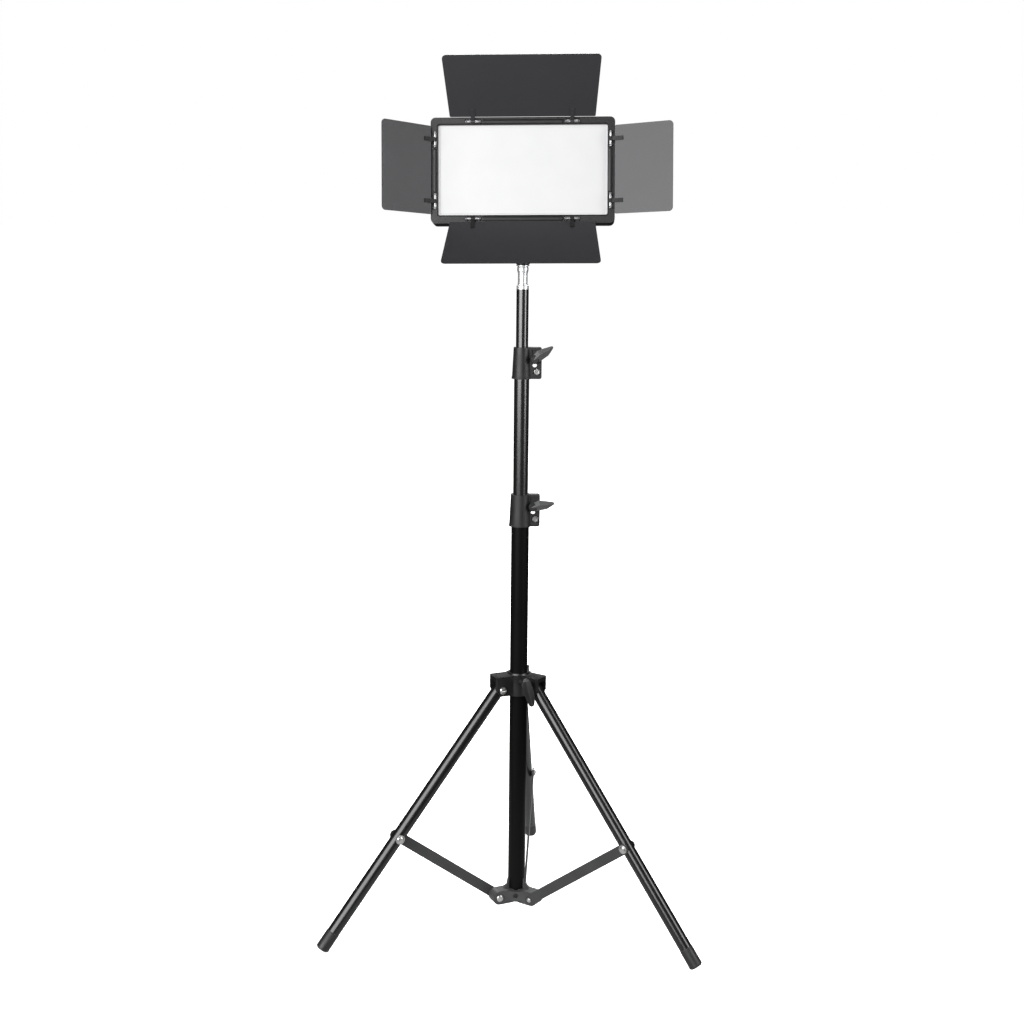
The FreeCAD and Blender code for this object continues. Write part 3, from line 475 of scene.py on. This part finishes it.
# (radius, height) along the axis that each turns about
LEVER_HUB = [(4, 6.2), (4.2, 8.2), (5.7, 9.4), (5.8, 10.4), (5.4, 13.2), (4.4, 14.1)]
KNOB_BOSS = [(4.8, 27.1), (4.95, 27.7), (4.5, 36.3), (4.2, 37.3)]
KNOB_SCREW = [(2.2, 11.6), (2.45, 12), (2.45, 27.3)]


def wing(stations):
    """Faceted wing along x. Its ridge runs along the front, which faces -y."""
    rings = []
    for x, low, high, ridge, front, back in stations:
        shoulder = front * 0.45 + back * 0.55
        inner = back + (front - back) * 0.12
        # The ridge, down one face to the middle of the back, and up the other face
        ring = [(front, ridge), (shoulder, high), (inner, high * 0.8 + low * 0.2),
                (back, ridge), (inner, low * 0.8 + high * 0.2), (shoulder, low)]
        rings.append([(x * MM, y * MM, z * MM) for y, z in ring])
    shape = loft(rings)
    bmesh.ops.recalc_face_normals(shape, faces=shape.faces)
    round_edges(shape, WING_ROUNDING, WING_FACET_ANGLE)
    return shape


def add_lever(prefix):
    """Clamp lever: a dark hub on the stud, its dark nylon partly painted shade of the flange's recess
    round it, and the pointed wing that it carries.
    """
    node = prefix + "_lock_lever"
    stud = Matrix.Translation(JOINTS[prefix + "_lever_turn"]["pos_m"])
    place = stud @ turn(LEVER_REST[prefix], "Y")
    hub = put(turned(LEVER_HUB), place @ turn(90, "X"))
    # The hub's dark nylon is partly painted shade: it stands dark where the flange's recess lies in shade
    dark_hub_and_painted_shade_piece = finish_mesh(add_mesh(node + "_hub", hub), node, WING_SHARP,
                            MATERIALS["dark_nylon"])
    blade = put(wing(LEVER_STATIONS), place)
    wing_piece = finish_mesh(add_mesh(node + "_wing", blade), node, WING_SHARP)
    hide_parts(node)
    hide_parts(node)


def add_collar_knob():
    """Clamp knob of the leg collar: a boss on its screw, and a long wing across its end."""
    joint = JOINTS["collar_knob_turn"]
    outward = Vector(joint["axis"])
    base = frame_at(Vector(joint["pos_m"]) - outward * KNOB_SEAT * MM, outward, (0, 0, 1))
    boss = put(turned(KNOB_BOSS), turn(90, "Y"))
    screw = put(turned(KNOB_SCREW), turn(90, "Y"))
    # The wing's x, y and z become the knob's -z, -x and -y
    across = Matrix(((0, -1, 0, 0), (0, 0, -1, 0), (-1, 0, 0, 0), (0, 0, 0, 1)))
    blade = put(wing(KNOB_STATIONS), turn(KNOB_REST, "X") @ across)
    shape = put(merge(boss, screw, blade), base)
    piece = finish_mesh(add_mesh("collar_knob_wing", shape), "collar_knob", WING_SHARP)
    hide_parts("collar_knob")


# ---- panel: diffuser, frame beads and the details of the back

DETAIL_SHARP = 30
LIP_SHARP = 60
CORNER_STEPS = 8

# Half width, half height, corner radius and depth behind the panel's face, from the sheet's back
# round its edge to the middle of its front
DIFFUSER_SECTIONS = [
    (106.9, 58.4, 0.5, 6.0),
    (106.9, 58.4, 0.5, 4.1),
    (100.6, 52.1, 2.4, 4.1),
    (100.1, 51.6, 2.2, 4.3),
    (99.7, 51.2, 2.0, 4.02),
    (99.2, 50.7, 1.8, 4.02),
]

# Half-round beads: the turn that puts each on its side, its distance from the middle, its length
BEADS = [(0, 58.1, 99), (180, 58.1, 99), (90, 106.1, 53), (270, 106.1, 53)]
BEAD_HALF_WIDTH = 2.9
BEAD_HEIGHT = 1.15
BEAD_TIP = 2.2
# How far along its tip a bead has which share of its size
BEAD_TAPER = ((0, 0.45), (0.4, 0.85), (1, 1))
BEAD_ROOT = 0.4
BEAD_STEPS = 10

# Window's half width, half height, corner radius and rise above the panel's middle
WINDOW = (102.5, 54, 2.2)
WINDOW_RISE = 0.5
# Lip: its middle's distance out from the window and behind the face, and its half width and depth
LIP_OUT, LIP_BACK = 0.7, 0.55
LIP_HALF_WIDTH, LIP_HALF_DEPTH = 0.62, 0.75
LIP_SIDES = 8

# The back, seen in the panel's own frame; its height is from the panel's middle
BACK_Y = 34.2  # from the panel's face to the outside of its rear cover
CONTROLS_X = -84
KNOB_HEIGHTS = {"brightness_knob": 24, "colour_knob": 1}
KNOB_LENGTH = 9.35
DIAL_RADIUS = 9.4
DIAL_TICKS = 11
DIAL_START, DIAL_STEP = -140, 28
SHORT_TICK, LONG_TICK = 1.6, 2.4
LONG_TICK_EVERY = 5
TICK_WIDTH, TICK_DEPTH, TICK_ROUNDING = 0.5, 0.35, 0.1
POINTER_RISE = 5.6
PLATES_X = (-32, 34)
CONTACTS_DX = (-9, -3, 3, 9)
GRIP_RIBS = 4
RIB_PITCH = 1.4
# Small blocks: width, depth, height and rounding
POINTER = (0.8, 0.4, 3.4, 0.15)
CONTACT = (1.4, 0.5, 8.2, 0.2)
LATCH = (13, 1.6, 7, 0.5)
GRIP_RIB = (10, 0.5, 0.7, 0.2)
INDICATOR = (CONTROLS_X + 16, BACK_Y - 0.1, -29)
INDICATOR_RING = [(2.4, 0), (2.4, 0.5), (2.0, 0.8), (1.5, 0.5)]
INDICATOR_LENS = [(1.45, 0.3), (1.3, 0.9), (0.7, 1.2)]
INDICATOR_SEGMENTS = 24


def rounded_rect(half_x, half_z, radius):
    """Points of a rectangle with rounded corners, as x and z."""
    points = []
    for corner, (sx, sz) in enumerate(((1, 1), (-1, 1), (-1, -1), (1, -1))):
        for i in range(CORNER_STEPS + 1):
            a = math.radians(90 * corner + 90 * i / CORNER_STEPS)
            points.append((sx * (half_x - radius) + radius * math.cos(a),
                           sz * (half_z - radius) + radius * math.sin(a)))
    return points


def add_diffuser():
    """Opal sheet with a slightly proud face inside a fine border step."""
    rings = [[(x * MM, y * MM, z * MM) for x, z in rounded_rect(half_x, half_z, radius)]
             for half_x, half_z, radius, y in DIFFUSER_SECTIONS]
    shape = put(loft(rings), PANEL)
    piece = finish_mesh(add_mesh("diffuser_sheet", shape), "diffuser", DETAIL_SHARP)
    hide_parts("diffuser")


def bead(length):
    """Half-round moulding along x, its flat on y 0 and its crown towards -y, with tapered ends."""
    rings = []
    end = length / 2
    stations = [(-end + BEAD_TIP * share, size) for share, size in BEAD_TAPER]
    stations += [(end - BEAD_TIP * share, size) for share, size in reversed(BEAD_TAPER)]
    for x, size in stations:
        half, height = BEAD_HALF_WIDTH * size, BEAD_HEIGHT * size
        arc = [math.pi * i / BEAD_STEPS for i in range(BEAD_STEPS + 1)]
        ring = [(-height * math.sin(a), half * math.cos(a)) for a in arc]
        ring += [(BEAD_ROOT, -half), (BEAD_ROOT, half)]
        rings.append([(x * MM, y * MM, z * MM) for y, z in ring])
    return loft(rings)


def add_frame_beads():
    """Half-round mouldings along the frame's face, between the hinges."""
    beads = [put(bead(length), turn(angle, "Y") @ shift(0, 0, out))
             for angle, out, length in BEADS]
    shape = put(merge(*beads), PANEL)
    finish_mesh(add_mesh("frame_beads", shape), "front_bezel", DETAIL_SHARP)


def add_window_lip():
    """Fine rounded lip that runs round the window."""
    rings = []
    for i in range(LIP_SIDES):
        a = 2 * math.pi * i / LIP_SIDES
        out = LIP_OUT + LIP_HALF_WIDTH * math.cos(a)
        y = LIP_BACK - LIP_HALF_DEPTH * math.sin(a)
        rings.append([(x * MM, y * MM, (z + WINDOW_RISE) * MM)
                      for x, z in rounded_rect(*(size + out for size in WINDOW))])
    shape = put(loft(rings, closed=True), PANEL)
    finish_mesh(add_mesh("window_lip", shape), "front_bezel", LIP_SHARP)


def block(width, depth, height, rim):
    """Small block centred on x and z, rising from y 0 to y depth, with rounded edges."""
    shape = bmesh.new()
    bmesh.ops.create_cube(shape, size=1)
    put(shape, Matrix.Diagonal((width * MM, depth * MM, height * MM, 1)))
    put(shape, shift(0, depth / 2, 0))
    round_edges(shape, rim, DETAIL_SHARP)
    return shape


def add_back_detail(name, node, shape, material=None, slot=None):
    finish_mesh(add_mesh(name, put(shape, PANEL)), node, DETAIL_SHARP, material, slot)


def add_dials():
    """Raised tick marks round each knob, and a pointer line on the knob's rim."""
    ticks = []
    for z in KNOB_HEIGHTS.values():
        for i in range(DIAL_TICKS):
            length = SHORT_TICK if i % LONG_TICK_EVERY else LONG_TICK
            tick = put(block(TICK_WIDTH, TICK_DEPTH, length, TICK_ROUNDING),
                       shift(0, 0, DIAL_RADIUS + length / 2))
            around = turn(DIAL_START + DIAL_STEP * i, "Y")
            ticks.append(put(tick, shift(CONTROLS_X, BACK_Y - 0.05, z) @ around))
    add_back_detail("dial_ticks", "rear_cover", merge(*ticks), PRINT, "plate_plastic")
    for node, z in KNOB_HEIGHTS.items():
        line = put(block(*POINTER), shift(CONTROLS_X, BACK_Y + KNOB_LENGTH, z + POINTER_RISE))
        add_back_detail(node + "_pointer", node, line, PRINT, "plate_plastic")


def add_contacts():
    """Sprung gold contact blades of the two battery plates."""
    contacts = [put(block(*CONTACT), shift(x + dx, BACK_Y + 3.2, 22))
                for x in PLATES_X for dx in CONTACTS_DX]
    add_back_detail("battery_contacts", "battery_plates", merge(*contacts),
                    MATERIALS["brass"], "brass")


def add_latches():
    """Release latch with grip ribs at the foot of each battery plate."""
    latches = []
    for x in PLATES_X:
        latches.append(put(block(*LATCH), shift(x, BACK_Y + 2.4, -23)))
        for i in range(GRIP_RIBS):
            rib_place = shift(x, BACK_Y + 3.9, -25 + RIB_PITCH * i)
            latches.append(put(block(*GRIP_RIB), rib_place))
    add_back_detail("battery_latches", "battery_plates", merge(*latches))


def add_indicator():
    """Small clear lens beside the switch, in a bezel ring."""
    place = shift(*INDICATOR) @ turn(-90, "X")
    for name, outline, slot in (("indicator_ring", INDICATOR_RING, "nickel"),
                                ("indicator_lens", INDICATOR_LENS, "diffuser_white")):
        shape = put(turned(outline, INDICATOR_SEGMENTS), place)
        add_back_detail(name, "rear_cover", shape, MATERIALS[slot], slot)


# ---- floor, lights and camera, in metres

FLOOR_RADIUS = 40
ROOM_AHEAD, ROOM_BEHIND = 0.12, 0.03  # how bright the object sees the room


def add_floor():
    """White studio sweep underfoot, bright enough to meet the white room with no edge."""
    shape = bmesh.new()
    bmesh.ops.create_circle(shape, cap_ends=True, segments=96, radius=FLOOR_RADIUS)
    floor = add_mesh("studio_floor", shape)
    floor.visible_glossy = False
    floor.visible_diffuse = False
    made = Shader("pale_floor", Roughness=0.9, Specular_IOR_Level=0.1, Emission_Strength=0.98)
    made.principled.inputs["Emission Color"].default_value = (1, 1, 1, 1)
    made.colour(made.mix(made.noise(3, 4), grey(0.80), grey(0.84)))
    made.bump(made.noise(400, 3), 0.1)
    floor.data.materials.append(made.material)


def add_area_light(name, shape, radiance, area):
    """Area light of an even radiance over its area, and the object that holds it."""
    light = bpy.data.lights.new(name, "AREA")
    light.shape = shape
    light.energy = radiance * math.pi * area
    lamp = bpy.data.objects.new(name, light)
    bpy.context.scene.collection.objects.link(lamp)
    return light, lamp


def add_softbox(name, azimuth, height, distance, width, tall, radiance, target=0.6):
    """Rectangular light aimed at the column; azimuth 0 is in front and 90 on the right."""
    light, lamp = add_area_light(name, "RECTANGLE", radiance, width * tall)
    light.size = width
    light.size_y = tall
    angle = math.radians(azimuth)
    lamp.location = Vector((distance * math.sin(angle), -distance * math.cos(angle), height))
    lamp.rotation_mode = "QUATERNION"
    outward = lamp.location - Vector((0, 0, target))
    lamp.rotation_quaternion = outward.to_track_quat("Z", "Y")


def add_floor_bounce(radius, radiance):
    """Light that the floor under the stand throws back up onto the hub and the braces."""
    light, lamp = add_area_light("floor_bounce", "DISK", radiance, math.pi * radius ** 2)
    light.size = 2 * radius
    lamp.location = (0, 0, 0.001)
    lamp.rotation_euler = (math.pi, 0, 0)
    lamp.visible_camera = False


def add_room():
    """White room for the camera; for what the object reflects, dim ahead and near black behind."""
    world = bpy.data.worlds.new("white_room")
    bpy.context.scene.world = world
    world.use_nodes = True
    tree = world.node_tree
    seen = tree.nodes.new("ShaderNodeBackground")
    seen.inputs["Strength"].default_value = 1.0
    seen.inputs["Color"].default_value = (1, 1, 1, 1)
    dim = tree.nodes["Background"]
    dim.inputs["Color"].default_value = (1, 1, 1, 1)
    direction = tree.nodes.new("ShaderNodeTexCoord")
    ahead = tree.nodes.new("ShaderNodeSeparateXYZ")
    fall = tree.nodes.new("ShaderNodeMapRange")
    for key, number in (("From Min", -0.3), ("From Max", 0.5),
                        ("To Min", ROOM_AHEAD), ("To Max", ROOM_BEHIND)):
        fall.inputs[key].default_value = number
    rays = tree.nodes.new("ShaderNodeLightPath")
    mix = tree.nodes.new("ShaderNodeMixShader")
    for output, target in ((direction.outputs["Generated"], ahead.inputs["Vector"]),
                           (ahead.outputs["Y"], fall.inputs["Value"]),
                           (fall.outputs["Result"], dim.inputs["Strength"]),
                           (rays.outputs["Is Camera Ray"], mix.inputs["Fac"]),
                           (dim.outputs["Background"], mix.inputs[1]),
                           (seen.outputs["Background"], mix.inputs[2]),
                           (mix.outputs["Shader"], tree.nodes["World Output"].inputs["Surface"])):
        tree.links.new(output, target)


def add_camera():
    """Camera at the picture's angle: 2 m in front of the column, looking down a little."""
    distance, height = 2.0, 0.9423
    pitch, yaw, roll = math.radians(11.27), math.radians(-0.30), math.radians(0.55)
    ahead = Vector((math.sin(yaw) * math.cos(pitch), math.cos(yaw) * math.cos(pitch),
                    -math.sin(pitch)))
    level = Vector((math.cos(yaw), -math.sin(yaw), 0))
    above = level.cross(ahead)
    right = level * math.cos(roll) + above * math.sin(roll)
    up = above * math.cos(roll) - level * math.sin(roll)
    data = bpy.data.cameras.new("camera")
    data.sensor_width = 36
    data.lens = 56.69
    data.clip_start = 0.05
    camera = bpy.data.objects.new("camera", data)
    axes = Matrix((right, up, -ahead)).transposed().to_4x4()
    place = column_foot() + Vector((0, -distance, height))
    camera.matrix_world = Matrix.Translation(place) @ axes
    bpy.context.scene.collection.objects.link(camera)
    bpy.context.scene.camera = camera


# ---- the scene

for node in sorted(SLOTS):
    if node not in RESHAPED:
        soften(node, EDGE_WIDTHS.get(node, FINE_EDGE))
add_lever("lower")
add_lever("upper")
add_collar_knob()
add_diffuser()
add_frame_beads()
add_window_lip()
add_dials()
add_contacts()
add_latches()
add_indicator()

add_floor()
add_room()
add_softbox("left_softbox", azimuth=-34, height=1.25, distance=2.5, width=2.6, tall=1.9,
            radiance=6.8)
add_softbox("right_softbox", azimuth=60, height=1.25, distance=2.5, width=0.9, tall=1.9,
            radiance=7.5)
add_softbox("top_softbox", azimuth=180, height=3.0, distance=0.2, width=2.4, tall=2.0,
            radiance=0.1)
add_softbox("back_softbox", azimuth=176, height=3.2, distance=2.0, width=3.0, tall=1.6,
            radiance=14.0, target=0.8)
add_floor_bounce(radius=0.45, radiance=0.5)
add_camera()
bpy.context.scene.view_settings.view_transform = "Standard"
